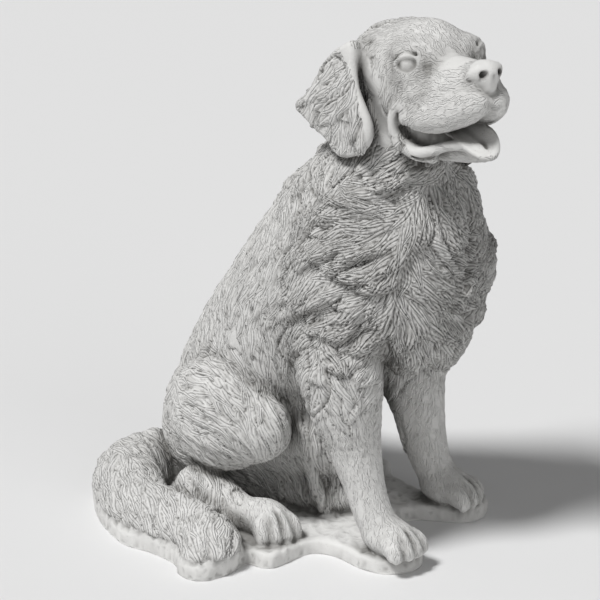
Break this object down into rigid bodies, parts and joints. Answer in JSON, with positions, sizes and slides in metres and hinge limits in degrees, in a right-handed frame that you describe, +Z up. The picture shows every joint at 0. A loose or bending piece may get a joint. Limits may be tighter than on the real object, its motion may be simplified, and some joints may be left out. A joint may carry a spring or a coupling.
{
  "type": "sitting dog statuette",
  "caption": "Sitting long-haired dog with open mouth and hanging tongue, carved all over with locks of hair, cast in stone in one piece with its thin base.",
  "frame": {"origin": "under the base, below the middle of the whole figure's box", "axes": "+X the way the dog's chest faces, +Y the dog's left, +Z up"},
  "size_m": [0.609, 0.4454, 0.7121],
  "materials": {
    "stone": "matt pale cast stone with a fine grain and small pits"
  },
  "bodies": {
    "root": {"dog_statue": "stone"}
  },
  "joints": []
}
